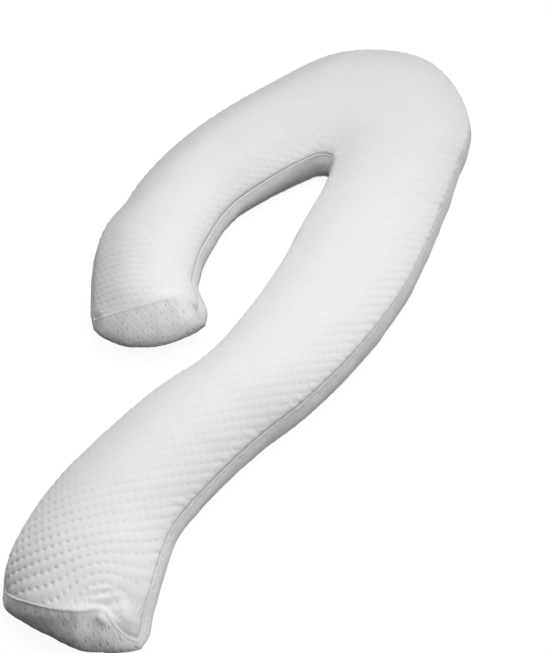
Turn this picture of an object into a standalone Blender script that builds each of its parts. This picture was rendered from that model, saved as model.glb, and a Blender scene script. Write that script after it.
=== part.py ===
"""Pregnancy pillow, one filled cushion in the shape of a walking cane, as a Blender 4.5 script.

The pillow lies on its underside, in metres, +Z up. Its long leg runs along Y from the foot at -Y. At the top
it bends round and comes down beside the leg as the hook. The origin is under the middle of its length and width.

A maker sews it from three pieces: a top panel and a bottom panel of the same outline, and a side band between
them that also closes both ends. Under its filling each panel is crowned, the band bulges between its two seams,
and each seam is a narrow valley beside a rolled edge.
"""

from collections import namedtuple
from math import pi, sin

import bmesh
import bpy
from mathutils import Vector

NODE = "pregnancy_pillow"

# Seam points across the pillow, from the foot to the hook's end, in metres. The inner point lies on the
# side of the hook's gap. The side seam's height and the crown above it are given for each rib.
Rib = namedtuple("Rib", "inner_x inner_y outer_x outer_y seam_z crown")
RIBS = (
    Rib(-0.239, -0.618, -0.008, -0.623, 0.060, 0.070),
    Rib(-0.243, -0.543, -0.007, -0.556, 0.085, 0.055),
    Rib(-0.222, -0.434, -0.007, -0.449, 0.083, 0.057),
    Rib(-0.175, -0.328, 0.030, -0.354, 0.083, 0.057),
    Rib(-0.109, -0.215, 0.088, -0.250, 0.088, 0.055),
    Rib(-0.037, -0.122, 0.147, -0.166, 0.096, 0.050),
    Rib(0.009, -0.010, 0.209, -0.051, 0.100, 0.048),
    Rib(0.039, 0.101, 0.260, 0.084, 0.100, 0.048),
    Rib(0.057, 0.212, 0.286, 0.218, 0.098, 0.048),
    Rib(0.073, 0.302, 0.302, 0.362, 0.095, 0.050),
    Rib(0.071, 0.360, 0.305, 0.528, 0.095, 0.050),
    Rib(0.043, 0.365, 0.194, 0.652, 0.095, 0.050),
    Rib(0.008, 0.336, 0.023, 0.628, 0.095, 0.048),
    Rib(-0.047, 0.279, -0.111, 0.501, 0.085, 0.053),
    Rib(-0.096, 0.214, -0.216, 0.364, 0.075, 0.060),
    Rib(-0.118, 0.139, -0.278, 0.224, 0.075, 0.060),
    Rib(-0.123, 0.058, -0.313, 0.066, 0.073, 0.062),
    Rib(-0.085, -0.036, -0.269, -0.101, 0.060, 0.068),
)
LAST = len(RIBS) - 1

# Places of the cage's lines: across a panel from the inner seam to the outer one, and along the ribs.
ACROSS = (-1.0, -0.93, -0.75, -0.4, 0.0, 0.4, 0.75, 0.93, 1.0)
STEPS_PER_RIB = 2
END_LINE = 0.1

# The crown over a rib falls to the seams on a curve of these two powers.
CROWN_FLATNESS = 2.4
CROWN_SHOULDER = 0.8

BOTTOM_SEAM_Z = 0.022
FLAT_SHARE = 0.75
BOTTOM_RISE_POWER = 1.5
SIDE_BULGE = 0.011
END_BULGE = 0.038
END_BOTTOM_BOW = 0.020

# The band's rolled edge stands beside the seam, outwards and a little past it in height.
ROLL_OUT = 0.005
ROLL_PAST = 0.001

# How far each corner of the sewn outline is drawn out to a point, on the inner and the outer side.
FOOT_CORNERS = {-1.0: 0.004, 1.0: 0.010}
HOOK_CORNERS = {-1.0: 0.004, 1.0: 0.006}

CLOTH_COLOUR = (0.80, 0.81, 0.83, 1.0)
CLOTH_ROUGHNESS = 0.9


def clear_scene():
    for old in list(bpy.data.objects):
        bpy.data.objects.remove(old, do_unlink=True)


def rib_at(place):
    """The rib at a place along the table, on a smooth curve through its rows."""
    row = min(int(place), LAST - 1)
    t = place - row
    before = RIBS[max(row - 1, 0)]
    start = RIBS[row]
    end = RIBS[row + 1]
    after = RIBS[min(row + 2, LAST)]
    values = []
    for a, b, c, d in zip(before, start, end, after):
        bend = (2 * a - 5 * b + 4 * c - d) * t * t + (3 * b - 3 * c + d - a) * t**3
        values.append(b + 0.5 * ((c - a) * t + bend))
    return Rib(*values)


def inner_point(rib):
    return Vector((rib.inner_x, rib.inner_y, 0.0))


def outer_point(rib):
    return Vector((rib.outer_x, rib.outer_y, 0.0))


def is_end(place):
    return place in (0, LAST)


def across_way(place):
    """The way from the inner seam to the outer one, in plan."""
    rib = rib_at(place)
    return (outer_point(rib) - inner_point(rib)).normalized()


def end_way(place):
    """The way that an end of the pillow faces, in plan."""
    way = across_way(place).cross(Vector((0.0, 0.0, 1.0)))
    return way if place == 0 else -way


def plan_point(place, across):
    """The point at a place along and across the pillow, in plan, with the corners drawn out."""
    rib = rib_at(place)
    point = inner_point(rib).lerp(outer_point(rib), (across + 1) / 2)
    corners = {0: FOOT_CORNERS, LAST: HOOK_CORNERS}.get(place, {})
    if across in corners:
        point += (across_way(place) * across + end_way(place)).normalized() * corners[across]
    return point


def top_point(place, across):
    rib = rib_at(place)
    point = plan_point(place, across)
    point.z = rib.seam_z + rib.crown * (1 - abs(across) ** CROWN_FLATNESS) ** CROWN_SHOULDER
    return point


def bottom_point(place, across):
    point = plan_point(place, across)
    rise = max(0.0, (abs(across) - FLAT_SHARE) / (1 - FLAT_SHARE))
    if is_end(place):
        rise = 1.0
        point += end_way(place) * END_BOTTOM_BOW * (1 - across**2)
    point.z = BOTTOM_SEAM_Z * rise**BOTTOM_RISE_POWER
    return point


def band_points(place, across):
    """The band's points from the bottom seam to the top one: a rolled edge, the bulge, a rolled edge."""
    low = bottom_point(place, across)
    high = top_point(place, across)
    way = across_way(place) * across
    bulge = SIDE_BULGE
    if is_end(place):
        way = (way * abs(across) ** 3 + end_way(place)).normalized()
        bulge += (END_BULGE - SIDE_BULGE) * (1 - across**2)
    past = Vector((0.0, 0.0, ROLL_PAST))
    points = [low + way * ROLL_OUT - past]
    for share in (1 / 3, 2 / 3):
        points.append(low.lerp(high, share) + way * bulge * sin(pi * share))
    points.append(high + way * ROLL_OUT + past)
    return points


def build_cage():
    """The closed cage: two panels as grids, joined round their outline by the band."""
    places = [step / STEPS_PER_RIB for step in range(LAST * STEPS_PER_RIB + 1)]
    places = [0, END_LINE] + places[1:-1] + [LAST - END_LINE, LAST]
    rows = range(len(places))
    columns = range(len(ACROSS))
    cage = bmesh.new()
    crease = cage.edges.layers.float.new("crease_edge")
    top = {}
    bottom = {}
    for row in rows:
        for column in columns:
            top[row, column] = cage.verts.new(top_point(places[row], ACROSS[column]))
            bottom[row, column] = cage.verts.new(bottom_point(places[row], ACROSS[column]))
    for row in rows[:-1]:
        for column in columns[:-1]:
            corners = [(row, column), (row + 1, column), (row + 1, column + 1), (row, column + 1)]
            cage.faces.new([top[corner] for corner in corners])
            cage.faces.new([bottom[corner] for corner in reversed(corners)])

    # Once round the outline: up the inner side, across the hook's end, down the outer side and across the foot.
    outline = [(row, 0) for row in rows]
    outline += [(rows[-1], column) for column in columns[1:-1]]
    outline += [(row, columns[-1]) for row in reversed(rows)]
    outline += [(0, column) for column in reversed(columns[1:-1])]
    band = {}
    for row, column in outline:
        points = band_points(places[row], ACROSS[column])
        middle = [cage.verts.new(point) for point in points]
        band[row, column] = [bottom[row, column]] + middle + [top[row, column]]
    for here, ahead in zip(outline, outline[1:] + outline[:1]):
        for k in range(len(band[here]) - 1):
            cage.faces.new((band[here][k], band[here][k + 1], band[ahead][k + 1], band[ahead][k]))
        for seam in (top, bottom):
            cage.edges.get((seam[here], seam[ahead]))[crease] = 1.0
    bmesh.ops.recalc_face_normals(cage, faces=cage.faces)
    mesh = bpy.data.meshes.new(NODE)
    cage.to_mesh(mesh)
    cage.free()
    return mesh


def cloth_material():
    material = bpy.data.materials.new("white_knit_cover")
    material.use_nodes = True
    shader = material.node_tree.nodes["Principled BSDF"]
    shader.inputs["Base Color"].default_value = CLOTH_COLOUR
    shader.inputs["Roughness"].default_value = CLOTH_ROUGHNESS
    shader.inputs["Metallic"].default_value = 0.0
    return material


def build_pillow():
    mesh = build_cage()
    mesh.materials.append(cloth_material())
    mesh.shade_smooth()
    pillow = bpy.data.objects.new(NODE, mesh)
    collection = bpy.data.collections.new("PregnancyPillow")
    bpy.context.scene.collection.children.link(collection)
    collection.objects.link(pillow)
    soften = pillow.modifiers.new("soften", "SUBSURF")
    soften.levels = 1
    soften.render_levels = 1


clear_scene()
build_pillow()
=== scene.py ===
"""Pregnancy pillow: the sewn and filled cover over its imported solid, laid out as an add-on.

There is one operator for each piece. The cover is three pieces of white dimpled knit: a top panel,
a bottom panel and the side band, which also closes both ends. Lengths are metres, +Z is up, and the
long leg runs along Y from the foot at -Y. A place along the pillow is counted in ribs from the foot
to the hook's end. A point across it runs from -1 at the inner seam, beside the hook's gap, to 1 at
the outer seam.
"""

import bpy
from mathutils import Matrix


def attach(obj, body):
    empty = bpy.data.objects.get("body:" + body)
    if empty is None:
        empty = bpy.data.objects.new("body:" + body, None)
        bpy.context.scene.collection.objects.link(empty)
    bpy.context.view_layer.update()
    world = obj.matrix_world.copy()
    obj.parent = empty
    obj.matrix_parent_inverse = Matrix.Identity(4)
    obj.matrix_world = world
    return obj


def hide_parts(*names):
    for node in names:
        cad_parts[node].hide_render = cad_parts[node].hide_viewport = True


bl_info = {
    "name": "Pregnancy Pillow",
    "version": (1, 0, 0),
    "blender": (4, 5, 0),
    "location": "3D View > Sidebar > Pillow",
    "description": "Builds a filled pillow in the shape of a walking cane, in dimpled white knit",
    "category": "Add Mesh",
}

from collections import namedtuple
from math import cos, pi, radians, sin

import bpy
import numpy as np
from mathutils import Vector

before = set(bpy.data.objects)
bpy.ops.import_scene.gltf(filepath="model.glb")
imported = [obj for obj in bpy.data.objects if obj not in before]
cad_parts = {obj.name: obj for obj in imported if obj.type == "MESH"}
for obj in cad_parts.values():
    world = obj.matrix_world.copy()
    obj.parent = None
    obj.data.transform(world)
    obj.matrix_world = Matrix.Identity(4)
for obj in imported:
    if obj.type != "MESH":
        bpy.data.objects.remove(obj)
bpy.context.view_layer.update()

NODE = "pregnancy_pillow"

# Seam points across the pillow, with the side seam's height and the crown above it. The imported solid
# has the same.
Rib = namedtuple("Rib", "inner_x inner_y outer_x outer_y seam_z crown")
RIBS = (
    Rib(-0.239, -0.618, -0.008, -0.623, 0.060, 0.070),
    Rib(-0.243, -0.543, -0.007, -0.556, 0.085, 0.055),
    Rib(-0.222, -0.434, -0.007, -0.449, 0.083, 0.057),
    Rib(-0.175, -0.328, 0.030, -0.354, 0.083, 0.057),
    Rib(-0.109, -0.215, 0.088, -0.250, 0.088, 0.055),
    Rib(-0.037, -0.122, 0.147, -0.166, 0.096, 0.050),
    Rib(0.009, -0.010, 0.209, -0.051, 0.100, 0.048),
    Rib(0.039, 0.101, 0.260, 0.084, 0.100, 0.048),
    Rib(0.057, 0.212, 0.286, 0.218, 0.098, 0.048),
    Rib(0.073, 0.302, 0.302, 0.362, 0.095, 0.050),
    Rib(0.071, 0.360, 0.305, 0.528, 0.095, 0.050),
    Rib(0.043, 0.365, 0.194, 0.652, 0.095, 0.050),
    Rib(0.008, 0.336, 0.023, 0.628, 0.095, 0.048),
    Rib(-0.047, 0.279, -0.111, 0.501, 0.085, 0.053),
    Rib(-0.096, 0.214, -0.216, 0.364, 0.075, 0.060),
    Rib(-0.118, 0.139, -0.278, 0.224, 0.075, 0.060),
    Rib(-0.123, 0.058, -0.313, 0.066, 0.073, 0.062),
    Rib(-0.085, -0.036, -0.269, -0.101, 0.060, 0.068),
)
RIB_TABLE = np.array(RIBS)
LAST = len(RIBS) - 1

CROWN_FLATNESS = 2.4
CROWN_SHOULDER = 0.8
BOTTOM_SEAM_Z = 0.022
FLAT_SHARE = 0.75
BOTTOM_RISE_POWER = 1.5
SIDE_BULGE = 0.011
END_BOTTOM_BOW = 0.022

# The panels' cloth rises steeply from a seam, and stands out over it by about this much at this distance.
SHOULDER_OUT = 0.0065
SHOULDER_AT = 0.009

# The seams over the two ends aren't even arches. Lift is the height above the end rib's side seam,
# draw_in is how far the stitching pulls the seam back from the end, and bulge is how far the band
# under it stands out.
EndSeam = namedtuple("EndSeam", "across lift draw_in bulge")
FOOT_SEAM = (
    EndSeam(-1.00, 0.006, 0.000, 0.012),
    EndSeam(-0.85, 0.030, -0.003, 0.021),
    EndSeam(-0.50, 0.056, -0.008, 0.021),
    EndSeam(-0.08, 0.070, -0.008, 0.026),
    EndSeam(0.28, 0.076, -0.001, 0.037),
    EndSeam(0.44, 0.070, 0.011, 0.041),
    EndSeam(0.58, 0.066, 0.013, 0.040),
    EndSeam(0.74, 0.048, -0.001, 0.033),
    EndSeam(0.88, 0.026, -0.006, 0.024),
    EndSeam(1.00, 0.006, -0.002, 0.018),
)
HOOK_SEAM = (
    EndSeam(-1.00, 0.014, 0.000, 0.021),
    EndSeam(-0.92, 0.036, 0.000, 0.028),
    EndSeam(-0.78, 0.062, 0.002, 0.035),
    EndSeam(-0.60, 0.073, 0.004, 0.040),
    EndSeam(-0.26, 0.071, 0.002, 0.044),
    EndSeam(0.00, 0.065, -0.001, 0.044),
    EndSeam(0.36, 0.053, -0.002, 0.040),
    EndSeam(0.81, 0.030, -0.002, 0.027),
    EndSeam(1.00, 0.010, 0.000, 0.012),
)
END_REACH = 0.55
END_STEEPNESS = 2.6
CORNER_REACH = 0.020
CORNER_SPREAD = 0.045

# An end seam's table is read at this many even points across the end, and then smoothed.
SEAM_LINE_POINTS = 401
SEAM_LINE_STEP = 0.005
SEAM_LINE_MARGIN = 20
SEAM_SMOOTHING = 0.045

# How far from each end, in ribs, the bottom panel turns up to its seam, bows out, and the band turns
# round the corner.
BOTTOM_TURN_REACH = 0.35
BOTTOM_BOW_REACH = 0.5
BAND_TURN_REACH = 0.35

# How far each corner of the top seam is drawn out, and how far the bottom seam's corner below it is
# rounded off.
Corner = namedtuple("Corner", "end side top_out low_in")
CORNERS = (
    Corner(0, -1, -0.007, 0.008),
    Corner(0, 1, 0.006, 0.008),
    Corner(LAST, -1, -0.005, 0.008),
    Corner(LAST, 1, -0.004, 0.010),
)

# Short dents of the side seam, with a soft trough that runs from each into the panel. The trough is
# narrower than its dent by a share, and fades over a length.
Dent = namedtuple("Dent", "place side depth reach trough")
DENTS = (
    Dent(15.45, 1, 0.0060, 0.27, 0.0022),
    Dent(16.30, -1, 0.0060, 0.22, 0.0015),
    Dent(9.35, 1, 0.0025, 0.10, 0.0010),
    Dent(8.55, 1, 0.0020, 0.12, 0.0010),
)
TROUGH_NARROWING = 0.6
TROUGH_LENGTH = 0.035

# Folds of the top panel that run out from the gathered seam, as soft ridges and troughs between two
# points. Each fades from its middle over this share of its length.
Fold = namedtuple("Fold", "start_x start_y end_x end_y height width")
FOLDS = (
    Fold(-0.084, -0.603, -0.048, -0.583, 0.0020, 0.0040),
    Fold(-0.089, -0.597, -0.050, -0.576, -0.0016, 0.0035),
    Fold(-0.091, -0.591, -0.058, -0.571, 0.0012, 0.0040),
    Fold(-0.092, -0.585, -0.066, -0.567, -0.0010, 0.0040),
    Fold(-0.060, -0.605, -0.046, -0.592, -0.0032, 0.0042),
    Fold(-0.046, -0.604, -0.030, -0.590, 0.0026, 0.0085),
    Fold(-0.040, -0.616, -0.018, -0.600, 0.0080, 0.0150),
)
FOLD_TAPER = 0.55

# The dimples' lattice in the cloth, as two steps from a dimple to its neighbours: along a row, and to
# the next row.
Lattice = namedtuple("Lattice", "along_x along_y next_x next_y")
LEG_LATTICE = Lattice(0.0119, 0.0061, 0.0080, -0.0133)
HOOK_LATTICE = Lattice(0.0150, 0.0040, 0.0105, -0.0105)
LATTICE_PIVOT = (0.20, 0.42)
HOOK_LATTICE_PLACES = (8.5, 13.0)

# The rows bend round this point of the gathered seam, within this reach of it and this far behind it.
PUCKER_POINT = (-0.060, -0.612)
PUCKER_REACH = 0.10
PUCKER_BACK = -0.02

# Under the gathered seam the band puffs out in a small round bump: its middle and size across the end,
# its middle and size down the band, and its height.
PUCKER_BUMP_ACROSS = 0.55
PUCKER_BUMP_SPREAD = 0.085
PUCKER_BUMP_DOWN = 0.014
PUCKER_BUMP_DROP = 0.009
PUCKER_BUMP_HEIGHT = 0.0055

# On the band the rows of dimples run along it. Its cloth is stretched over the foot's end, which
# spreads them, up to this many ribs from the foot.
BAND_STEP = 0.0180
BAND_ROW = 0.0120
FOOT_STEP = 0.0205
FOOT_ROW = 0.0145
FOOT_STRETCH_REACH = 0.8

# Widths of the hollows that are in the mesh itself, and of the shallow trough along each row. The
# material adds a small pit in the middle of each hollow, of this length and width.
HOLLOW_LONG = 0.0050
HOLLOW_SHORT = 0.0040
ROW_TROUGH_WIDTH = 0.0032
ROW_TROUGH_SHARE = 0.15
PANEL_PIT = (0.0027, 0.0020)
BAND_PIT = (0.0018, 0.0030)

# The dimples stand out most beside this point of the foot. Fine creases cross the panel round the
# other one.
BUBBLE_POINT = (-0.235, -0.590)
BUBBLE_REACH = 0.125
CREASE_POINT = (0.190, 0.300)
CREASE_REACH = 0.110

# How far a panel's dimples stand out in its middle, and what the seams, the point beside the foot and
# the two ends add to it.
DIMPLES_IN_MIDDLE = 0.18
DIMPLES_AT_SEAMS = 0.32
DIMPLES_AT_BUBBLES = 0.85
DIMPLES_AT_FOOT = 0.20
DIMPLES_AT_HOOK = 0.12
FOOT_DIMPLES_REACH = 3.0
HOOK_DIMPLES_REACH = 2.0

# The band's dimples stand out fully at the ends and by this much along the sides, and all of them are
# shallower than the panels' by the second share.
BAND_DIMPLES_AT_SIDES = 0.35
BAND_DIMPLES_SHARE = 0.5
BAND_DIMPLES_REACH = 0.6

# Uneven waves of the cloth: the seed they are drawn from, their wavelength and their height.
Swell = namedtuple("Swell", "seed wavelength height")
PANEL_SWELL = Swell(5, 0.11, 0.0009)
BAND_SWELL = Swell(9, 0.09, 0.0014)

# Each finer layer of waves has these shares of the strength and wavelength of the one before it. The
# waves of a layer add up to about this height.
WAVE_LAYERS = 2
LAYER_FADE = 0.6
LAYER_SHRINK = 0.55
WAVES_IN_LAYER = 5
LAYER_HEIGHT = 3

# The fine creases are long across the pillow: over it their waves are slower by this share.
CREASE_SEED = 13
CREASE_WAVELENGTH = 0.018
CREASE_SLOWNESS = 0.28

# Gathers along the seams: their seed, how they slant away from the seam, where they are deepest, and
# over what width.
Gathers = namedtuple("Gathers", "seed slant deepest width")
PANEL_GATHERS = Gathers(21, 0.35, 0.005, 0.013)
BAND_GATHERS = Gathers(31, 0.3, 0.006, 0.008)
BAND_GATHERS_SHARE = 0.7
GATHER_WAVELENGTH = 0.015

# The band's rolled edge stands at this distance beside a seam. The gathers make it a little uneven.
ROLL_AT = 0.0026
ROLL_WIDTH = 0.0019
ROLL_UNEVENNESS = 0.25

# Distances from a seam between which each kind of relief grows from nothing to its full height.
SIDE_OVERHANG_FADE = (0, 0.010)
END_OVERHANG_FADE = (0, 0.05)
PANEL_DIMPLES_FADE = (0.004, 0.015)
BOTTOM_DIMPLES_FADE = (0.001, 0.009)
BAND_DIMPLES_FADE = (0.004, 0.012)
BAND_PITS_FADE = (0.003, 0.008)
GATHERS_FADE = (0, 0.004)
PANEL_SWELL_FADE = (0, 0.05)
BAND_SWELL_FADE = (0, 0.03)
FOLDS_FADE = (0, 0.006)
CREASES_FADE = (0, 0.02)
ROLL_FADE = (0, 0.0016)

# The panels stand out less over the end seams. Painted shade darkens a seam over these widths.
END_OVERHANG_SHARE = 0.5
PANEL_SEAM_SHADE_WIDTH = 0.0012
BAND_SEAM_SHADE_WIDTH = 0.0010

# Points of the grids across the panels, down the band and across an end, and the spacing of their
# rows as a share of the mesh pitch.
TOP_POINTS = 97
BOTTOM_POINTS = 71
BAND_POINTS = 49
END_POINTS = 112
TOP_ROW_PITCH = 1.06
BOTTOM_ROW_PITCH = 1.5
BAND_ROW_PITCH = 1.08

# How strongly the points crowd towards the seams on a panel, and on the band, and how round the band
# bulges between its seams.
PANEL_CROWDING = 0.20
PANEL_EDGE_CROWDING = 0.03
BAND_CROWDING = 0.085
BAND_ROUNDNESS = 0.8


def smooth_step(low, high, values):
    share = np.clip((values - low) / (high - low), 0.0, 1.0)
    return share * share * (3 - 2 * share)


def hill(values, width):
    return np.exp(-((values / width) ** 2))


def waves(x, y, seed, wavelength):
    """Smooth uneven waves over a plane, between about -1 and 1, the same for the same seed."""
    draw = np.random.default_rng(seed)
    total = np.zeros_like(x)
    size = 0.0
    for number in range(WAVE_LAYERS):
        strength = LAYER_FADE**number
        size += strength
        layer = np.zeros_like(x)
        for _ in range(WAVES_IN_LAYER):
            turn = draw.uniform(0, 2 * pi)
            pace = 2 * pi / (wavelength * LAYER_SHRINK**number) * draw.uniform(0.7, 1.3)
            layer += np.sin(pace * (x * np.cos(turn) + y * np.sin(turn)) + draw.uniform(0, 2 * pi))
        total += strength * layer / LAYER_HEIGHT
    return total / size


def ribs_at(places):
    """Rib values at places along the table, on a smooth curve through its rows."""
    places = np.asarray(places, float)
    row = np.clip(places.astype(int), 0, LAST - 1)
    t = (places - row)[:, None]
    a = RIB_TABLE[np.maximum(row - 1, 0)]
    b = RIB_TABLE[row]
    c = RIB_TABLE[row + 1]
    d = RIB_TABLE[np.minimum(row + 2, LAST)]
    bend = (2 * a - 5 * b + 4 * c - d) * t**2 + (3 * b - 3 * c + d - a) * t**3
    return b + 0.5 * ((c - a) * t + bend)


def across_ways(values):
    ways = values[:, 2:4] - values[:, 0:2]
    return ways / np.linalg.norm(ways, axis=1)[:, None]


def end_way(place):
    """The way that an end of the pillow faces, in plan."""
    way = across_ways(ribs_at([place]))[0]
    return np.array((way[1], -way[0])) * (1 if place == 0 else -1)


def end_seam(table, column, across):
    """A column of an end seam's table, smoothed, at points across the end."""
    fine = np.linspace(-1, 1, SEAM_LINE_POINTS)
    line = np.interp(fine, [row.across for row in table], [row[column] for row in table])
    beside = np.arange(-SEAM_LINE_MARGIN, SEAM_LINE_MARGIN + 1)
    kernel = hill(beside * SEAM_LINE_STEP, SEAM_SMOOTHING)
    padded = np.pad(line, SEAM_LINE_MARGIN, mode="reflect", reflect_type="odd")
    return np.interp(across, fine, np.convolve(padded, kernel / kernel.sum(), mode="valid"))


def seam_point(place, side):
    values = ribs_at([place])[0]
    return values[0:2] if side < 0 else values[2:4]


def corner_way(end, side):
    way = across_ways(ribs_at([end]))[0] * side + end_way(end)
    return way / np.linalg.norm(way)


def near_end(places, end, reach):
    return 1 - smooth_step(0.0, reach, np.abs(places - end))


def plan_points(p, u):
    """Plan points of the sewn outline and of the panels inside it, with the rib values at each."""
    values = ribs_at(p)
    ways = across_ways(values)
    share = ((u + 1) / 2)[:, None]
    plan = values[:, 0:2] * (1 - share) + values[:, 2:4] * share
    for dent in DENTS:
        pull = dent.depth * hill(p - dent.place, dent.reach) * np.clip((1 + dent.side * u) / 2, 0, 1) ** 4
        plan -= ways * (dent.side * pull)[:, None]
    return values, plan


def top_surface(places, across):
    """Points of the top panel's base surface, before its small relief."""
    p = places.ravel()
    u = across.ravel()
    values, plan = plan_points(p, u)
    top = values[:, 4] + values[:, 5] * (1 - np.abs(u) ** CROWN_FLATNESS) ** CROWN_SHOULDER
    for end, seam in ((0, FOOT_SEAM), (LAST, HOOK_SEAM)):
        near = near_end(p, end, END_REACH) ** END_STEEPNESS
        lift = RIBS[end].seam_z + end_seam(seam, 1, u)
        top = top * (1 - near) + lift * near
        plan -= end_way(end) * (near_end(p, end, END_REACH) * end_seam(seam, 2, u))[:, None]
    for corner in CORNERS:
        pull = hill(np.linalg.norm(plan - seam_point(corner.end, corner.side), axis=1), CORNER_REACH)
        plan += corner_way(corner.end, corner.side) * (corner.top_out * pull)[:, None]
    return np.column_stack([plan, top]).reshape(*places.shape, 3)


def bottom_surface(places, across):
    """Points of the bottom panel's base surface. Its ends bow out and its corners are rounded off."""
    p = places.ravel()
    u = across.ravel()
    _, plan = plan_points(p, u)
    rise = np.clip((np.abs(u) - FLAT_SHARE) / (1 - FLAT_SHARE), 0, 1)
    for end in (0, LAST):
        rise = np.maximum(rise, near_end(p, end, BOTTOM_TURN_REACH))
        bow = END_BOTTOM_BOW * near_end(p, end, BOTTOM_BOW_REACH) * (1 - u**2)
        plan += end_way(end) * bow[:, None]
    for corner in CORNERS:
        pull = hill(np.linalg.norm(plan - seam_point(corner.end, corner.side), axis=1), CORNER_SPREAD)
        plan -= corner_way(corner.end, corner.side) * (corner.low_in * pull)[:, None]
    low = BOTTOM_SEAM_Z * rise**BOTTOM_RISE_POWER
    return np.column_stack([plan, low]).reshape(*places.shape, 3)


def shoulder(distance):
    """How much of the full overhang the cloth has at a distance from a seam."""
    return distance / SHOULDER_AT * np.exp(1 - distance / SHOULDER_AT)


def fold_relief(x, y, folds):
    """Height of folds at plan points: each is a soft ridge or trough along its line."""
    total = np.zeros_like(x)
    for fold in folds:
        run = np.array((fold.end_x - fold.start_x, fold.end_y - fold.start_y))
        length = np.linalg.norm(run)
        run /= length
        along = (x - fold.start_x) * run[0] + (y - fold.start_y) * run[1]
        over = (y - fold.start_y) * run[0] - (x - fold.start_x) * run[1]
        total += fold.height * hill(over, fold.width) * hill(along - 0.5 * length, FOLD_TAPER * length)
    return total


def dent_relief(places, across_from_seam):
    """The trough that runs from each dent of the seam into the panel."""
    total = np.zeros_like(places)
    for dent in DENTS:
        near = hill(places - dent.place, dent.reach * TROUGH_NARROWING)
        total -= dent.trough * near * np.exp(-across_from_seam[dent.side] / TROUGH_LENGTH)
    return total


def dimple_share(x, y, u, places):
    """How far the dimples stand out, from 0 to 1: the filling draws most of the cloth nearly flat."""
    share = DIMPLES_IN_MIDDLE + DIMPLES_AT_SEAMS * np.abs(u) ** 4
    from_bubbles = np.hypot(x - BUBBLE_POINT[0], y - BUBBLE_POINT[1])
    share += DIMPLES_AT_BUBBLES * hill(from_bubbles, BUBBLE_REACH)
    at_foot = DIMPLES_AT_FOOT * near_end(places, 0, FOOT_DIMPLES_REACH)
    at_hook = DIMPLES_AT_HOOK * near_end(places, LAST, HOOK_DIMPLES_REACH)
    return np.clip(share + (at_foot + at_hook), 0, 1)


def outward_normals(points):
    """Unit normals of a grid of points, from its rows and columns."""
    along = np.gradient(points, axis=0)
    over = np.gradient(points, axis=1)
    normals = np.cross(along, over)
    return normals / np.maximum(np.linalg.norm(normals, axis=2), 1e-12)[:, :, None]


def lattice_steps(x, y, lattice):
    """Positions in steps of a lattice."""
    area = lattice.along_x * lattice.next_y - lattice.along_y * lattice.next_x
    i = (x * lattice.next_y - y * lattice.next_x) / area
    j = (y * lattice.along_x - x * lattice.along_y) / area
    return i, j


def row_spacing(lattice):
    """Step along a row, shift from a row to the next, and distance between rows."""
    step = np.hypot(lattice.along_x, lattice.along_y)
    shift = (lattice.next_x * lattice.along_x + lattice.next_y * lattice.along_y) / step
    gap = abs(lattice.along_x * lattice.next_y - lattice.along_y * lattice.next_x) / step
    return step, shift, gap


def soft_hollows(i, j, spacing, turned=False):
    """Depth of the soft hollow round each dimple from 0 to 1, and of the trough along each row."""
    step, shift, gap = spacing
    total = np.zeros_like(i)
    for di in (-1, 0, 1, 2):
        for dj in (0, 1):
            along = (i - np.floor(i) - di) * step + (j - np.floor(j) - dj) * shift
            over = (j - np.floor(j) - dj) * gap
            if turned:
                along, over = over, along
            total += np.exp(-((along / HOLLOW_LONG) ** 2) - (over / HOLLOW_SHORT) ** 2)
    return total, hill((j - np.round(j)) * gap, ROW_TROUGH_WIDTH)


class PillowShape(bpy.types.PropertyGroup):
    dimple_depth: bpy.props.FloatProperty(
        name="Dimple Depth",
        description="How deep the knit's dimples are",
        default=0.0020,
        unit="LENGTH",
    )
    crease_depth: bpy.props.FloatProperty(
        name="Crease Depth",
        description="Depth of the fine creases that cross the top panel below the bend",
        default=0.0007,
        unit="LENGTH",
    )
    seam_roll: bpy.props.FloatProperty(
        name="Rolled Edge",
        description="How far the side band's folded edge stands out beside a seam",
        default=0.0016,
        unit="LENGTH",
    )
    pucker_depth: bpy.props.FloatProperty(
        name="Pucker Depth",
        description="Depth of the small gathers along the seams",
        default=0.0009,
        unit="LENGTH",
    )
    cloth_pitch: bpy.props.FloatProperty(
        name="Mesh Pitch",
        description="Spacing of the points of the top panel and the side band",
        default=0.0024,
        unit="LENGTH",
    )


class PillowCloth(bpy.types.PropertyGroup):
    cloth_colour: bpy.props.FloatVectorProperty(
        name="Cloth Colour",
        description="Colour of the knit",
        subtype="COLOR",
        size=4,
        default=(0.84, 0.845, 0.86, 1.0),
    )
    # Painted shade: the darker colour that the pits and the seams are mixed towards, standing in for the
    # shade that falls in them.
    hollow_shade_colour: bpy.props.FloatVectorProperty(
        name="Hollow Shade Colour",
        description="Colour of the knit deep in its dimples and in the seams",
        subtype="COLOR",
        size=4,
        default=(0.62, 0.63, 0.66, 1.0),
    )
    stitch_width: bpy.props.FloatProperty(
        name="Stitch Width",
        description="Width of one column of knit stitches",
        default=0.0011,
        unit="LENGTH",
    )
    pit_depth: bpy.props.FloatProperty(
        name="Pit Depth",
        description="Depth of the small pit in the middle of each dimple",
        default=0.0016,
        unit="LENGTH",
    )
    roughness: bpy.props.FloatProperty(
        name="Roughness",
        description="Roughness of the knit",
        default=0.92,
        subtype="FACTOR",
    )


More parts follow.
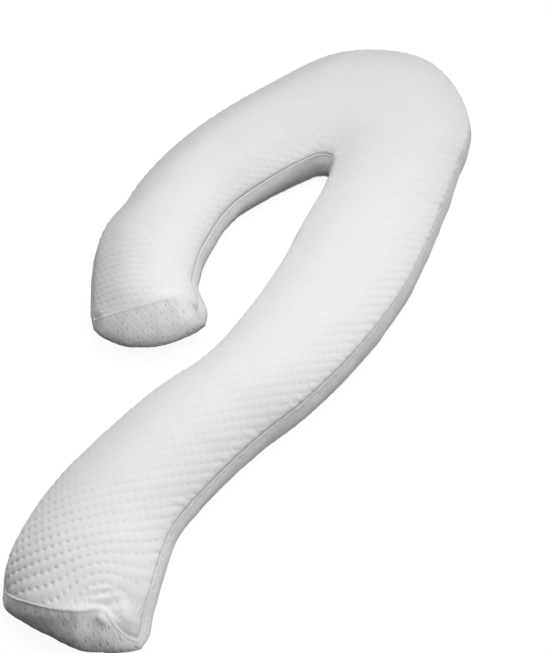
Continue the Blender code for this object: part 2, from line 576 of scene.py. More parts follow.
class PillowStudio(bpy.types.PropertyGroup):
    floor_colour: bpy.props.FloatVectorProperty(
        name="Floor Colour",
        description="Colour of the floor",
        subtype="COLOR",
        size=4,
        default=(0.13, 0.13, 0.13, 1.0),
    )
    floor_glow: bpy.props.FloatProperty(
        name="Floor Glow",
        description="Light that the floor shows to the camera, so that it stays white under the shadows",
        default=0.93,
    )
    key_strength: bpy.props.FloatProperty(
        name="Key Light",
        description="Strength of the large soft light above the bend",
        default=0.8,
    )
    top_power: bpy.props.FloatProperty(
        name="Top Light",
        description="Power of the large soft light over the middle of the pillow",
        default=13.5,
        unit="POWER",
    )
    left_strength: bpy.props.FloatProperty(
        name="Left Light",
        description="Strength of the low soft light behind on the left",
        default=0.65,
    )
    right_strength: bpy.props.FloatProperty(
        name="Right Light",
        description="Strength of the low soft light on the right",
        default=1.0,
    )
    room_strength: bpy.props.FloatProperty(
        name="Room Light",
        description="Strength of the even light from all round",
        default=0.06,
    )


def shape_settings():
    return bpy.context.scene.pillow_shape


def cloth_settings():
    return bpy.context.scene.pillow_cloth


def even_places(pitch):
    """Places along the pillow, evenly spaced on a line three quarters of the way to the outer seam."""
    fine = np.linspace(0, LAST, 4001)
    values = ribs_at(fine)
    line = values[:, 0:2] * 0.25 + values[:, 2:4] * 0.75
    lengths = np.concatenate([[0], np.cumsum(np.linalg.norm(np.diff(line, axis=0), axis=1))])
    count = int(lengths[-1] / pitch)
    return np.interp(np.linspace(0, lengths[-1], count + 1), lengths, fine)


def panel_across(count):
    """Points across a panel, a little closer together near the seams."""
    u = np.linspace(-1, 1, count)
    return u + PANEL_CROWDING * np.sin(pi * u) - PANEL_EDGE_CROWDING * np.sin(2 * pi * u)


def cloth_plane(points, ways):
    """Where each point of a grid lies in the flat cloth: in plan, moved out by the slope it goes over."""
    steps = np.linalg.norm(np.diff(points, axis=1), axis=2)
    flats = np.linalg.norm(np.diff(points[:, :, :2], axis=1), axis=2)
    gain = np.concatenate([np.zeros((len(points), 1)), np.cumsum(steps - flats, axis=1)], axis=1)
    middle = gain.shape[1] // 2
    gain = gain - gain[:, middle : middle + 1]
    return points[:, :, :2] + ways[:, None, :] * gain[:, :, None]


def top_lattice(cloth, places):
    """Lattice steps over the top panel. Its rows bend round the gathered seam at the foot."""
    step = row_spacing(LEG_LATTICE)[0]
    row_x = LEG_LATTICE.along_x / step
    row_y = LEG_LATTICE.along_y / step
    x = cloth[:, :, 0] - PUCKER_POINT[0]
    y = cloth[:, :, 1] - PUCKER_POINT[1]
    along = x * row_x + y * row_y
    up = y * row_x - x * row_y
    reach = np.hypot(along, up)
    angle = np.arctan2(along, np.maximum(up, PUCKER_BACK))
    near = hill(reach, PUCKER_REACH)
    new_up = up + (reach - up) * near
    new_along = along + (reach * angle - along) * near
    x = PUCKER_POINT[0] + new_along * row_x - new_up * row_y - LATTICE_PIVOT[0]
    y = PUCKER_POINT[1] + new_along * row_y + new_up * row_x - LATTICE_PIVOT[1]
    leg_i, leg_j = lattice_steps(x, y, LEG_LATTICE)
    hook_i, hook_j = lattice_steps(x, y, HOOK_LATTICE)
    share = smooth_step(*HOOK_LATTICE_PLACES, places)
    return np.stack([leg_i + (hook_i - leg_i) * share, leg_j + (hook_j - leg_j) * share], axis=2)


def grid_mesh(name, points, maps, lap=None):
    """A smooth mesh from a grid of points with UV maps.

    With a lap, the grid is closed and each map grows by its lap.
    """
    rows, columns = points.shape[:2]
    index = np.arange(rows * columns).reshape(rows, columns)
    ahead = np.roll(index, -1, axis=0)
    quads = np.stack([index[:, :-1], index[:, 1:], ahead[:, 1:], ahead[:, :-1]], axis=2)
    if lap is None:
        quads = quads[:-1]
    corners = quads.reshape(-1)
    mesh = bpy.data.meshes.new(name)
    mesh.vertices.add(rows * columns)
    mesh.vertices.foreach_set("co", points.reshape(-1).astype(np.float32))
    mesh.loops.add(corners.size)
    mesh.loops.foreach_set("vertex_index", corners.astype(np.int32))
    mesh.polygons.add(corners.size // 4)
    mesh.polygons.foreach_set("loop_start", np.arange(0, corners.size, 4, dtype=np.int32))
    mesh.update(calc_edges=True)
    for label, values in maps.items():
        at_corners = values.reshape(-1, 2)[corners].reshape(-1, columns - 1, 4, 2)
        if lap is not None:
            at_corners[-1, :, 2:, 0] += lap[label]
        layer = mesh.uv_layers.new(name=label)
        layer.data.foreach_set("uv", at_corners.astype(np.float32).reshape(-1))
    mesh.shade_smooth()
    return mesh


def add_mask(mesh, name, values):
    """Stores a value from 0 to 1 at each point: how deep in a seam it lies, or how its dimples stand out. The
    materials use both for painted shade.
    """
    mask = mesh.attributes.new(name, "FLOAT", "POINT")
    mask.data.foreach_set("value", values.reshape(-1).astype(np.float32))


def add_piece(name, mesh, material):
    piece = bpy.data.objects.new(name, mesh)
    bpy.context.scene.collection.objects.link(piece)
    mesh.materials.append(material)
    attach(piece, "root")
    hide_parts(NODE)


def group_socket(tree, name, kind, side, default=None):
    socket = tree.interface.new_socket(name=name, in_out=side, socket_type=kind)
    if default is not None:
        socket.default_value = default


def math_node(tree, operation, first, second=None):
    node = tree.nodes.new("ShaderNodeMath")
    node.operation = operation
    for socket, value in zip(node.inputs, (first, second)):
        if value is None:
            continue
        if isinstance(value, (int, float)):
            socket.default_value = value
        else:
            tree.links.new(value, socket)
    return node.outputs[0]


# A knit stitch: how many go along a column in one stitch width, and how far its two legs slant.
STITCHES_ALONG = 1.3
STITCH_SLANT = 1.6

# The mean strength of a pit, how far pits and seams take on the darker colour of painted shade, and how far
# the roughness varies over the cloth.
PIT_STRENGTH = 0.75
PIT_PAINTED_SHADE = 0.45
SEAM_PAINTED_SHADE = 0.30
ROUGHNESS_SPREAD = 0.08


def knit_group():
    """Node group: height of fine knit stitches in columns, over a cloth plane in metres."""
    if "knit_stitches" in bpy.data.node_groups:
        return bpy.data.node_groups["knit_stitches"]
    tree = bpy.data.node_groups.new("knit_stitches", "ShaderNodeTree")
    group_socket(tree, "Cloth Plane", "NodeSocketVector", "INPUT")
    group_socket(tree, "Stitch Width", "NodeSocketFloat", "INPUT", 0.0011)
    group_socket(tree, "Unevenness", "NodeSocketFloat", "INPUT", 0.3)
    group_socket(tree, "Height", "NodeSocketFloat", "OUTPUT")
    inside = tree.nodes.new("NodeGroupInput")
    out = tree.nodes.new("NodeGroupOutput")
    wobble = tree.nodes.new("ShaderNodeTexNoise")
    wobble.inputs["Scale"].default_value = 160.0
    wobble.inputs["Detail"].default_value = 2.0
    tree.links.new(inside.outputs["Cloth Plane"], wobble.inputs["Vector"])
    parts = tree.nodes.new("ShaderNodeSeparateXYZ")
    tree.links.new(inside.outputs["Cloth Plane"], parts.inputs[0])
    shift = math_node(tree, "MULTIPLY", wobble.outputs["Fac"], inside.outputs["Unevenness"])
    over = math_node(tree, "DIVIDE", parts.outputs["X"], inside.outputs["Stitch Width"])
    column = math_node(tree, "ADD", over, shift)
    centre = math_node(tree, "ABSOLUTE", math_node(tree, "SUBTRACT", math_node(tree, "FRACT", column), 0.5))
    rib = math_node(tree, "COSINE", math_node(tree, "MULTIPLY", centre, 2 * pi))
    rise = math_node(tree, "DIVIDE", parts.outputs["Y"], inside.outputs["Stitch Width"])
    climb = math_node(tree, "MULTIPLY", rise, STITCHES_ALONG)
    leg = math_node(tree, "ADD", climb, math_node(tree, "MULTIPLY", centre, STITCH_SLANT))
    loop = math_node(tree, "SINE", math_node(tree, "MULTIPLY", leg, 2 * pi))
    half_rib = math_node(tree, "MULTIPLY", rib, 0.5)
    both = math_node(tree, "ADD", half_rib, math_node(tree, "MULTIPLY", loop, 0.5))
    tree.links.new(both, out.inputs["Height"])
    return tree


def squared_share(tree, distance, size):
    """The square of a distance that is measured in sizes."""
    share = math_node(tree, "ABSOLUTE", math_node(tree, "DIVIDE", distance, size))
    return math_node(tree, "POWER", share, 2.0)


def dimple_group():
    """Node group: the small oval pit in the middle of each dimple, over positions in steps of the lattice."""
    if "dimple_pits" in bpy.data.node_groups:
        return bpy.data.node_groups["dimple_pits"]
    tree = bpy.data.node_groups.new("dimple_pits", "ShaderNodeTree")
    group_socket(tree, "Lattice Steps", "NodeSocketVector", "INPUT")
    for name in ("Step", "Row Shift", "Row Gap", "Pit Length", "Pit Width"):
        group_socket(tree, name, "NodeSocketFloat", "INPUT", 0.01)
    group_socket(tree, "Unevenness", "NodeSocketFloat", "INPUT", 0.5)
    group_socket(tree, "Strength", "NodeSocketFloat", "INPUT", 1.0)
    group_socket(tree, "Height", "NodeSocketFloat", "OUTPUT")
    group_socket(tree, "Pit", "NodeSocketFloat", "OUTPUT")
    inside = tree.nodes.new("NodeGroupInput")
    out = tree.nodes.new("NodeGroupOutput")
    given = inside.outputs
    steps = tree.nodes.new("ShaderNodeSeparateXYZ")
    tree.links.new(given["Lattice Steps"], steps.inputs[0])
    cell_i = math_node(tree, "ROUND", steps.outputs["X"])
    cell_j = math_node(tree, "ROUND", steps.outputs["Y"])
    cell = tree.nodes.new("ShaderNodeCombineXYZ")
    tree.links.new(cell_i, cell.inputs["X"])
    tree.links.new(cell_j, cell.inputs["Y"])
    chance = tree.nodes.new("ShaderNodeTexWhiteNoise")
    chance.noise_dimensions = "2D"
    tree.links.new(cell.outputs[0], chance.inputs["Vector"])
    part_i = math_node(tree, "SUBTRACT", steps.outputs["X"], cell_i)
    part_j = math_node(tree, "SUBTRACT", steps.outputs["Y"], cell_j)
    shift = math_node(tree, "MULTIPLY", part_j, given["Row Shift"])
    along = math_node(tree, "ADD", math_node(tree, "MULTIPLY", part_i, given["Step"]), shift)
    over = math_node(tree, "MULTIPLY", part_j, given["Row Gap"])
    long = squared_share(tree, along, given["Pit Length"])
    short = squared_share(tree, over, given["Pit Width"])
    fall = math_node(tree, "MULTIPLY", math_node(tree, "ADD", long, short), -1.0)
    pit = math_node(tree, "EXPONENT", fall)
    luck = math_node(tree, "SUBTRACT", chance.outputs["Value"], 0.5)
    spread = math_node(tree, "MULTIPLY", luck, given["Unevenness"])
    pit = math_node(tree, "MULTIPLY", pit, math_node(tree, "ADD", spread, PIT_STRENGTH))
    pit = math_node(tree, "MULTIPLY", pit, given["Strength"])
    tree.links.new(math_node(tree, "MULTIPLY", pit, -1.0), out.inputs["Height"])
    tree.links.new(pit, out.inputs["Pit"])
    return tree


def tone_and_shade_group():
    """Node group: cloth colour with painted shade that darkens the pits and seams, and that varies a little
    over the cloth.
    """
    if "cloth_tone_and_painted_shade" in bpy.data.node_groups:
        return bpy.data.node_groups["cloth_tone_and_painted_shade"]
    tree = bpy.data.node_groups.new("cloth_tone_and_painted_shade", "ShaderNodeTree")
    group_socket(tree, "Cloth Plane", "NodeSocketVector", "INPUT")
    group_socket(tree, "Cloth Colour", "NodeSocketColor", "INPUT")
    group_socket(tree, "Hollow Shade Colour", "NodeSocketColor", "INPUT")
    group_socket(tree, "Pit", "NodeSocketFloat", "INPUT", 0.0)
    group_socket(tree, "Seam", "NodeSocketFloat", "INPUT", 0.0)
    group_socket(tree, "Variation", "NodeSocketFloat", "INPUT", 0.03)
    group_socket(tree, "Colour", "NodeSocketColor", "OUTPUT")
    group_socket(tree, "Patches", "NodeSocketFloat", "OUTPUT")
    inside = tree.nodes.new("NodeGroupInput")
    out = tree.nodes.new("NodeGroupOutput")
    patches = tree.nodes.new("ShaderNodeTexNoise")
    patches.inputs["Scale"].default_value = 28.0
    patches.inputs["Detail"].default_value = 3.0
    tree.links.new(inside.outputs["Cloth Plane"], patches.inputs["Vector"])
    # Painted shade: the pits and the seams are mixed towards the darker hollow shade colour.
    pit_shade = math_node(tree, "MULTIPLY", inside.outputs["Pit"], PIT_PAINTED_SHADE)
    seam_shade = math_node(tree, "MULTIPLY", inside.outputs["Seam"], SEAM_PAINTED_SHADE)
    depth = math_node(tree, "MAXIMUM", pit_shade, seam_shade)
    mix = tree.nodes.new("ShaderNodeMix")
    mix.data_type = "RGBA"
    tree.links.new(depth, mix.inputs["Factor"])
    tree.links.new(inside.outputs["Cloth Colour"], mix.inputs["A"])
    tree.links.new(inside.outputs["Hollow Shade Colour"], mix.inputs["B"])
    change = math_node(tree, "SUBTRACT", patches.outputs["Fac"], 0.5)
    value = math_node(tree, "ADD", math_node(tree, "MULTIPLY", change, inside.outputs["Variation"]), 1.0)
    tone = tree.nodes.new("ShaderNodeHueSaturation")
    tree.links.new(value, tone.inputs["Value"])
    tree.links.new(mix.outputs["Result"], tone.inputs["Color"])
    tree.links.new(tone.outputs["Color"], out.inputs["Colour"])
    tree.links.new(patches.outputs["Fac"], out.inputs["Patches"])
    return tree


def cloth_material(name, spacing, pit_length, pit_width):
    """White dimpled knit: pits and fine stitches as bump, painted shade that makes the pits and seams a
    little darker, and a soft sheen.
    """
    cloth = cloth_settings()
    material = bpy.data.materials.new(name)
    material.use_nodes = True
    tree = material.node_tree
    shader = tree.nodes["Principled BSDF"]
    shader.inputs["Metallic"].default_value = 0.0
    shader.inputs["Sheen Weight"].default_value = 0.15
    shader.inputs["Sheen Roughness"].default_value = 0.5
    shader.inputs["Specular IOR Level"].default_value = 0.25
    plane = tree.nodes.new("ShaderNodeUVMap")
    plane.uv_map = "cloth"
    steps = tree.nodes.new("ShaderNodeUVMap")
    steps.uv_map = "lattice"
    # The seam mask drives painted shade along the seams.
    seam = tree.nodes.new("ShaderNodeAttribute")
    seam.attribute_name = "seam"
    dimples = tree.nodes.new("ShaderNodeGroup")
    dimples.node_tree = dimple_group()
    for socket, value in zip(("Step", "Row Shift", "Row Gap"), spacing):
        dimples.inputs[socket].default_value = value
    dimples.inputs["Pit Length"].default_value = pit_length
    dimples.inputs["Pit Width"].default_value = pit_width
    tree.links.new(steps.outputs["UV"], dimples.inputs["Lattice Steps"])
    strength = tree.nodes.new("ShaderNodeAttribute")
    strength.attribute_name = "dimples"
    tree.links.new(strength.outputs["Fac"], dimples.inputs["Strength"])
    tone = tree.nodes.new("ShaderNodeGroup")
    tone.node_tree = tone_and_shade_group()
    tone.inputs["Cloth Colour"].default_value = cloth.cloth_colour
    tone.inputs["Hollow Shade Colour"].default_value = cloth.hollow_shade_colour
    tree.links.new(plane.outputs["UV"], tone.inputs["Cloth Plane"])
    # The pits' strength also drives painted shade in the colour.
    tree.links.new(dimples.outputs["Pit"], tone.inputs["Pit"])
    tree.links.new(seam.outputs["Fac"], tone.inputs["Seam"])
    tree.links.new(tone.outputs["Colour"], shader.inputs["Base Color"])
    dullness = math_node(tree, "MULTIPLY", tone.outputs["Patches"], ROUGHNESS_SPREAD)
    roughness = math_node(tree, "ADD", dullness, cloth.roughness - ROUGHNESS_SPREAD / 2)
    tree.links.new(roughness, shader.inputs["Roughness"])
    knit = tree.nodes.new("ShaderNodeGroup")
    knit.node_tree = knit_group()
    knit.inputs["Stitch Width"].default_value = cloth.stitch_width
    tree.links.new(plane.outputs["UV"], knit.inputs["Cloth Plane"])
    pit_bump = tree.nodes.new("ShaderNodeBump")
    pit_bump.inputs["Distance"].default_value = cloth.pit_depth
    tree.links.new(dimples.outputs["Height"], pit_bump.inputs["Height"])
    bump = tree.nodes.new("ShaderNodeBump")
    bump.inputs["Strength"].default_value = 0.35
    bump.inputs["Distance"].default_value = 0.0003
    tree.links.new(knit.outputs["Height"], bump.inputs["Height"])
    tree.links.new(pit_bump.outputs["Normal"], bump.inputs["Normal"])
    tree.links.new(bump.outputs["Normal"], shader.inputs["Normal"])
    return material


def panel_material():
    name = "white_dimpled_knit_panels"
    if name in bpy.data.materials:
        return bpy.data.materials[name]
    return cloth_material(name, row_spacing(LEG_LATTICE), *PANEL_PIT)


def seam_gathers(arc, seed):
    """Uneven gathers along a seam, from its arc length."""
    return waves(arc, np.zeros_like(arc), seed, GATHER_WAVELENGTH)


def seam_lengths(points):
    """Distance along each column of a grid from its first row."""
    steps = np.linalg.norm(np.diff(points, axis=0), axis=2)
    return np.concatenate([np.zeros((1, points.shape[1])), np.cumsum(steps, axis=0)])


class PILLOW_OT_top_panel(bpy.types.Operator):
    """Add the crowned top panel with its dimples, gathers, folds and creases"""

    bl_idname = "pillow.top_panel"
    bl_label = "Top Panel"

    def execute(self, context):
        shape = shape_settings()
        rows = even_places(shape.cloth_pitch * TOP_ROW_PITCH)
        places, u = np.meshgrid(rows, panel_across(TOP_POINTS), indexing="ij")
        points = top_surface(places, u)
        ways = across_ways(ribs_at(rows))
        widths = np.linalg.norm(points[:, -1] - points[:, 0], axis=1)[:, None]
        from_side = {side: (1 - side * u) / 2 * widths for side in (-1, 1)}
        down = seam_lengths(points)
        from_end = {0: down, LAST: down[-1:] - down}
        away = smooth_step(*SIDE_OVERHANG_FADE, np.minimum(from_end[0], from_end[LAST]))
        for side, distance in from_side.items():
            out = side * SHOULDER_OUT * shoulder(distance) * away
            points[:, :, :2] += ways[:, None, :] * out[:, :, None]
        inside = smooth_step(*END_OVERHANG_FADE, np.minimum(from_side[-1], from_side[1]))
        for end, distance in from_end.items():
            out = END_OVERHANG_SHARE * SHOULDER_OUT * shoulder(distance) * inside
            points[:, :, :2] += end_way(end) * out[:, :, None]
        edge = np.minimum.reduce([*from_side.values(), *from_end.values()])
        plane = cloth_plane(points, ways)
        plane_x = plane[:, :, 0]
        plane_y = plane[:, :, 1]
        normals = outward_normals(points)
        normals *= np.sign(normals[:, :, 2].mean())
        lattice = top_lattice(plane, places)
        hollow, trough = soft_hollows(lattice[:, :, 0], lattice[:, :, 1], row_spacing(LEG_LATTICE))
        share = dimple_share(points[:, :, 0], points[:, :, 1], u, places)
        relief = -shape.dimple_depth * share * (hollow + ROW_TROUGH_SHARE * trough)
        relief *= smooth_step(*PANEL_DIMPLES_FADE, edge)
        for side, distance in from_side.items():
            lengths = down[:, :1] if side < 0 else down[:, -1:]
            gathers = seam_gathers(lengths + PANEL_GATHERS.slant * distance, PANEL_GATHERS.seed + side)
            depth = shape.pucker_depth * hill(distance - PANEL_GATHERS.deepest, PANEL_GATHERS.width)
            relief += depth * gathers * smooth_step(*GATHERS_FADE, distance)
        swell = waves(plane_x, plane_y, PANEL_SWELL.seed, PANEL_SWELL.wavelength)
        relief += PANEL_SWELL.height * swell * smooth_step(*PANEL_SWELL_FADE, edge)
        relief += fold_relief(points[:, :, 0], points[:, :, 1], FOLDS) * smooth_step(*FOLDS_FADE, edge)
        relief += dent_relief(places, from_side)
        creased = hill(np.hypot(plane_x - CREASE_POINT[0], plane_y - CREASE_POINT[1]), CREASE_REACH)
        creases = waves(CREASE_SLOWNESS * plane_x, plane_y, CREASE_SEED, CREASE_WAVELENGTH)
        relief += shape.crease_depth * creases * creased * smooth_step(*CREASES_FADE, edge)
        points += normals * relief[:, :, None]
        mesh = grid_mesh("top_panel", points, {"cloth": plane, "lattice": lattice})
        add_mask(mesh, "dimples", share)
        # A mask for painted shade along the seams.
        add_mask(mesh, "seam", hill(edge, PANEL_SEAM_SHADE_WIDTH))
        add_piece("top_panel", mesh, panel_material())
        return {"FINISHED"}


class PILLOW_OT_bottom_panel(bpy.types.Operator):
    """Add the flat bottom panel, which curves up to its seam"""

    bl_idname = "pillow.bottom_panel"
    bl_label = "Bottom Panel"

    def execute(self, context):
        shape = shape_settings()
        rows = even_places(shape.cloth_pitch * BOTTOM_ROW_PITCH)
        places, u = np.meshgrid(rows, panel_across(BOTTOM_POINTS), indexing="ij")
        points = bottom_surface(places, u)
        ways = across_ways(ribs_at(rows))
        widths = np.linalg.norm(points[:, -1] - points[:, 0], axis=1)[:, None]
        down = seam_lengths(points)
        edge = np.minimum((1 - np.abs(u)) / 2 * widths, np.minimum(down, down[-1:] - down))
        plane = cloth_plane(points, ways)
        i, j = lattice_steps(plane[:, :, 0], plane[:, :, 1], LEG_LATTICE)
        hollow, trough = soft_hollows(i, j, row_spacing(LEG_LATTICE))
        share = dimple_share(points[:, :, 0], points[:, :, 1], u, places)
        depth = shape.dimple_depth * share * (hollow + ROW_TROUGH_SHARE * trough)
        points[:, :, 2] += depth * smooth_step(*BOTTOM_DIMPLES_FADE, edge)
        points = points[:, ::-1]
        maps = {"cloth": plane[:, ::-1], "lattice": np.stack([i, j], axis=2)[:, ::-1]}
        mesh = grid_mesh("bottom_panel", points, maps)
        add_mask(mesh, "dimples", share[:, ::-1])
        # A mask for painted shade along the seams.
        add_mask(mesh, "seam", hill(edge[:, ::-1], PANEL_SEAM_SHADE_WIDTH))
        add_piece("bottom_panel", mesh, panel_material())
        return {"FINISHED"}


def outline(pitch):
    """Once round the pillow: places and points across, up the inner side and down the outer one."""
    rows = even_places(pitch)
    over = np.linspace(-1, 1, END_POINTS)[1:-1]
    ends = np.ones(len(over))
    places = np.concatenate([rows, ends * LAST, rows[::-1], ends * 0])
    across = np.concatenate([-np.ones(len(rows)), over, np.ones(len(rows)), over[::-1]])
    return places, across


def band_bulge(places, u, seam_points):
    """How far the band stands out at each point of the outline."""
    bulge = np.full(len(places), SIDE_BULGE)
    for end, seam in ((0, FOOT_SEAM), (LAST, HOOK_SEAM)):
        at_end = places == end
        bulge = np.where(at_end, end_seam(seam, 3, u), bulge)
        for side in (-1, 1):
            corner = end_seam(seam, 3, np.array([float(side)]))[0]
            near = hill(np.linalg.norm(seam_points[:, :2] - seam_point(end, side), axis=1), CORNER_SPREAD)
            beside = (~at_end) & (u == side)
            bulge = bulge + (corner - SIDE_BULGE) * near * beside
    return bulge


def band_ways(places, u):
    """The way that the band faces at each point of the outline, in plan."""
    ways = across_ways(ribs_at(places)) * (u * np.abs(u) ** 3)[:, None]
    for end in (0, LAST):
        ways += end_way(end) * near_end(places, end, BAND_TURN_REACH)[:, None]
    return ways / np.linalg.norm(ways, axis=1)[:, None]


def ring_normals(points):
    """Normals of a grid whose rows run round a closed ring."""
    along = (np.roll(points, -1, axis=0) - np.roll(points, 1, axis=0)) / 2
    normals = np.cross(along, np.gradient(points, axis=1))
    return normals / np.maximum(np.linalg.norm(normals, axis=2), 1e-12)[:, :, None]


class PILLOW_OT_side_band(bpy.types.Operator):
    """Add the side band with its two rolled edges, which also closes both ends"""

    bl_idname = "pillow.side_band"
    bl_label = "Side Band"

    def execute(self, context):
        shape = shape_settings()
        places, u = outline(shape.cloth_pitch * BAND_ROW_PITCH)
        high = top_surface(places[:, None], u[:, None])[:, 0]
        low = bottom_surface(places[:, None], u[:, None])[:, 0]
        ways = band_ways(places, u)
        t = np.linspace(0, 1, BAND_POINTS)
        t = t - BAND_CROWDING * np.sin(2 * pi * t)
        rows = high[:, None, :] * (1 - t)[None, :, None] + low[:, None, :] * t[None, :, None]
        belly = band_bulge(places, u, high)[:, None] * np.sin(pi * t)[None, :] ** BAND_ROUNDNESS
        rows[:, :, :2] += ways[:, None, :] * belly[:, :, None]
        steps = np.linalg.norm(np.diff(rows, axis=1), axis=2)
        down = np.concatenate([np.zeros((len(rows), 1)), np.cumsum(steps, axis=1)], axis=1)
        edge = np.minimum(down, down[:, -1:] - down)
        ring = np.linalg.norm(np.diff(high[:, :2], axis=0, append=high[:1, :2]), axis=1)
        arc = np.broadcast_to(np.concatenate([[0], np.cumsum(ring)[:-1]])[:, None], down.shape)
        over_foot = near_end(places, 0, FOOT_STRETCH_REACH)
        pace = ring / (BAND_STEP + (FOOT_STEP - BAND_STEP) * over_foot)
        lap = round(pace.sum())
        i = np.concatenate([[0], np.cumsum(pace)[:-1]])[:, None] * (lap / pace.sum())
        j = down / (BAND_ROW + (FOOT_ROW - BAND_ROW) * over_foot)[:, None]
        lattice = np.stack([i - 0.5 * j, j], axis=2)
        spacing = (BAND_STEP, BAND_STEP / 2, BAND_ROW)
        hollow, _ = soft_hollows(lattice[:, :, 0], lattice[:, :, 1], spacing, turned=True)
        at_ends = [near_end(places, end, BAND_DIMPLES_REACH)[:, None] for end in (0, LAST)]
        share = BAND_DIMPLES_AT_SIDES + (1 - BAND_DIMPLES_AT_SIDES) * np.maximum(*at_ends)
        relief = -BAND_DIMPLES_SHARE * shape.dimple_depth * share * hollow
        relief *= smooth_step(*BAND_DIMPLES_FADE, edge)
        bump = hill(u - PUCKER_BUMP_ACROSS, PUCKER_BUMP_SPREAD)[:, None] * (places == 0)[:, None]
        relief += PUCKER_BUMP_HEIGHT * bump * hill(down - PUCKER_BUMP_DOWN, PUCKER_BUMP_DROP)
        gathers = seam_gathers(arc + BAND_GATHERS.slant * down, BAND_GATHERS.seed)
        depth = BAND_GATHERS_SHARE * hill(edge - BAND_GATHERS.deepest, BAND_GATHERS.width)
        relief += shape.pucker_depth * depth * gathers * smooth_step(*GATHERS_FADE, edge)
        swell = waves(arc, down, BAND_SWELL.seed, BAND_SWELL.wavelength)
        relief += BAND_SWELL.height * swell * smooth_step(*BAND_SWELL_FADE, edge)
        roll = shape.seam_roll * hill(edge - ROLL_AT, ROLL_WIDTH) * smooth_step(*ROLL_FADE, edge)
        relief += roll * (1 + ROLL_UNEVENNESS * gathers)
        normals = ring_normals(rows)
        normals *= np.sign((normals[:, :, :2] * ways[:, None, :]).sum(axis=2).mean())
        rows += normals * relief[:, :, None]
        rows[:, :, 2] = np.maximum(rows[:, :, 2], 0.0)
        plane = np.stack([arc, -down], axis=2)
        laps = {"cloth": ring.sum(), "lattice": lap}
        mesh = grid_mesh("side_band", rows, {"cloth": plane, "lattice": lattice}, laps)
        add_mask(mesh, "dimples", share * smooth_step(*BAND_PITS_FADE, edge))
        # A mask for painted shade along the seams.
        add_mask(mesh, "seam", hill(edge, BAND_SEAM_SHADE_WIDTH))
        material = cloth_material("white_dimpled_knit_band", spacing, *BAND_PIT)
        add_piece("side_band", mesh, material)
        return {"FINISHED"}


CAMERA_ELEVATION = radians(61.0)
CAMERA_AZIMUTH = radians(15.5)
CAMERA_DISTANCE = 2.156
CAMERA_TARGET = Vector((0.045, 0.015, 0.0))
CAMERA_LENS = 62.46
FLOOR_SIZE = 14.0
TOP_LIGHT_PLACE = (0.22, -0.05, 1.5)
TOP_LIGHT_SIZE = 1.2

# The ways that the distant lights shine, and the angles that their softboxes fill.
KEY_WAY = (-0.10, -0.58, -0.80)
KEY_SPREAD = radians(70)
LEFT_WAY = (0.88, -0.35, -0.32)
LEFT_SPREAD = radians(55)
RIGHT_WAY = (-0.95, -0.04, -0.30)
RIGHT_SPREAD = radians(50)


def floor_material(colour, glow):
    """Floor that glows for the camera only, so it looks white and sends little light up at the walls."""
    material = bpy.data.materials.new("pale_floor")
    material.use_nodes = True
    tree = material.node_tree
    shader = tree.nodes["Principled BSDF"]
    shader.inputs["Base Color"].default_value = colour
    seen = tree.nodes.new("ShaderNodeLightPath").outputs["Is Camera Ray"]
    tree.links.new(seen, shader.inputs["Emission Color"])
    shader.inputs["Emission Strength"].default_value = glow
    shader.inputs["Roughness"].default_value = 0.95
    shader.inputs["Specular IOR Level"].default_value = 0.1
    return material


def add_light(name, way, spread, strength):
    """A distant soft light that shines along a way, as from a large softbox that fills the spread angle."""
    data = bpy.data.lights.new(name, "SUN")
    data.angle = spread
    data.energy = strength
    light = bpy.data.objects.new(name, data)
    light.rotation_euler = Vector(way).to_track_quat("-Z", "Y").to_euler()
    bpy.context.scene.collection.objects.link(light)


def add_top_light(power):
    """The softbox over the middle of the pillow. The bend and the foot get a little less of its light."""
    data = bpy.data.lights.new("top_light", "AREA")
    data.shape = "DISK"
    data.size = TOP_LIGHT_SIZE
    data.energy = power
    light = bpy.data.objects.new("top_light", data)
    light.location = TOP_LIGHT_PLACE
    bpy.context.scene.collection.objects.link(light)


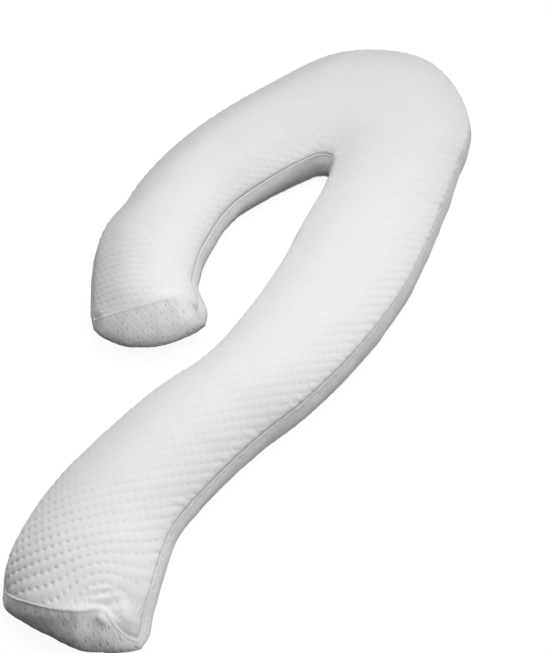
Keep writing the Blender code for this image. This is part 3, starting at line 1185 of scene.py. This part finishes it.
class PILLOW_OT_studio(bpy.types.Operator):
    """Add the floor, the soft lights and the camera"""

    bl_idname = "pillow.studio"
    bl_label = "Studio"

    def execute(self, context):
        studio = context.scene.pillow_studio
        half = FLOOR_SIZE / 2
        mesh = bpy.data.meshes.new("studio_floor")
        corners = [(-half, -half, 0), (half, -half, 0), (half, half, 0), (-half, half, 0)]
        mesh.from_pydata(corners, [], [(0, 1, 2, 3)])
        mesh.materials.append(floor_material(studio.floor_colour, studio.floor_glow))
        floor = bpy.data.objects.new("studio_floor", mesh)
        floor.location.z = -0.0005
        context.scene.collection.objects.link(floor)
        world = bpy.data.worlds.new("studio_room")
        world.use_nodes = True
        tree = world.node_tree
        background = tree.nodes["Background"]
        background.inputs["Color"].default_value = (1.0, 1.0, 1.0, 1.0)
        seen = tree.nodes.new("ShaderNodeLightPath").outputs["Is Camera Ray"]
        shown = math_node(tree, "MULTIPLY", seen, studio.floor_glow)
        tree.links.new(math_node(tree, "MAXIMUM", shown, studio.room_strength), background.inputs["Strength"])
        context.scene.world = world
        context.scene.view_settings.view_transform = "Standard"
        add_light("key_light", KEY_WAY, KEY_SPREAD, studio.key_strength)
        add_top_light(studio.top_power)
        add_light("left_light", LEFT_WAY, LEFT_SPREAD, studio.left_strength)
        add_light("right_light", RIGHT_WAY, RIGHT_SPREAD, studio.right_strength)
        camera_data = bpy.data.cameras.new("photo_camera")
        camera_data.lens = CAMERA_LENS
        camera_data.sensor_width = 36.0
        camera = bpy.data.objects.new("photo_camera", camera_data)
        flat = cos(CAMERA_ELEVATION)
        look = Vector((-sin(CAMERA_AZIMUTH) * flat, cos(CAMERA_AZIMUTH) * flat, -sin(CAMERA_ELEVATION)))
        camera.location = CAMERA_TARGET - look * CAMERA_DISTANCE
        camera.rotation_euler = look.to_track_quat("-Z", "Y").to_euler()
        context.scene.collection.objects.link(camera)
        context.scene.camera = camera
        return {"FINISHED"}


class PILLOW_PT_panel(bpy.types.Panel):
    bl_label = "Pregnancy Pillow"
    bl_idname = "PILLOW_PT_panel"
    bl_space_type = "VIEW_3D"
    bl_region_type = "UI"
    bl_category = "Pillow"

    def draw(self, context):
        layout = self.layout
        scene = context.scene
        for group in (scene.pillow_shape, scene.pillow_cloth, scene.pillow_studio):
            for name in group.__annotations__:
                layout.prop(group, name)
        for operator in OPERATORS:
            layout.operator(operator.bl_idname)


OPERATORS = (
    PILLOW_OT_top_panel,
    PILLOW_OT_bottom_panel,
    PILLOW_OT_side_band,
    PILLOW_OT_studio,
)
GROUPS = {"pillow_shape": PillowShape, "pillow_cloth": PillowCloth, "pillow_studio": PillowStudio}
CLASSES = (*GROUPS.values(), *OPERATORS, PILLOW_PT_panel)


def register():
    for cls in CLASSES:
        bpy.utils.register_class(cls)
    for name, group in GROUPS.items():
        setattr(bpy.types.Scene, name, bpy.props.PointerProperty(type=group))


def unregister():
    for name in GROUPS:
        delattr(bpy.types.Scene, name)
    for cls in reversed(CLASSES):
        bpy.utils.unregister_class(cls)


def main():
    register()
    bpy.ops.pillow.top_panel()
    bpy.ops.pillow.bottom_panel()
    bpy.ops.pillow.side_band()
    bpy.ops.pillow.studio()


if __name__ == "__main__":
    main()
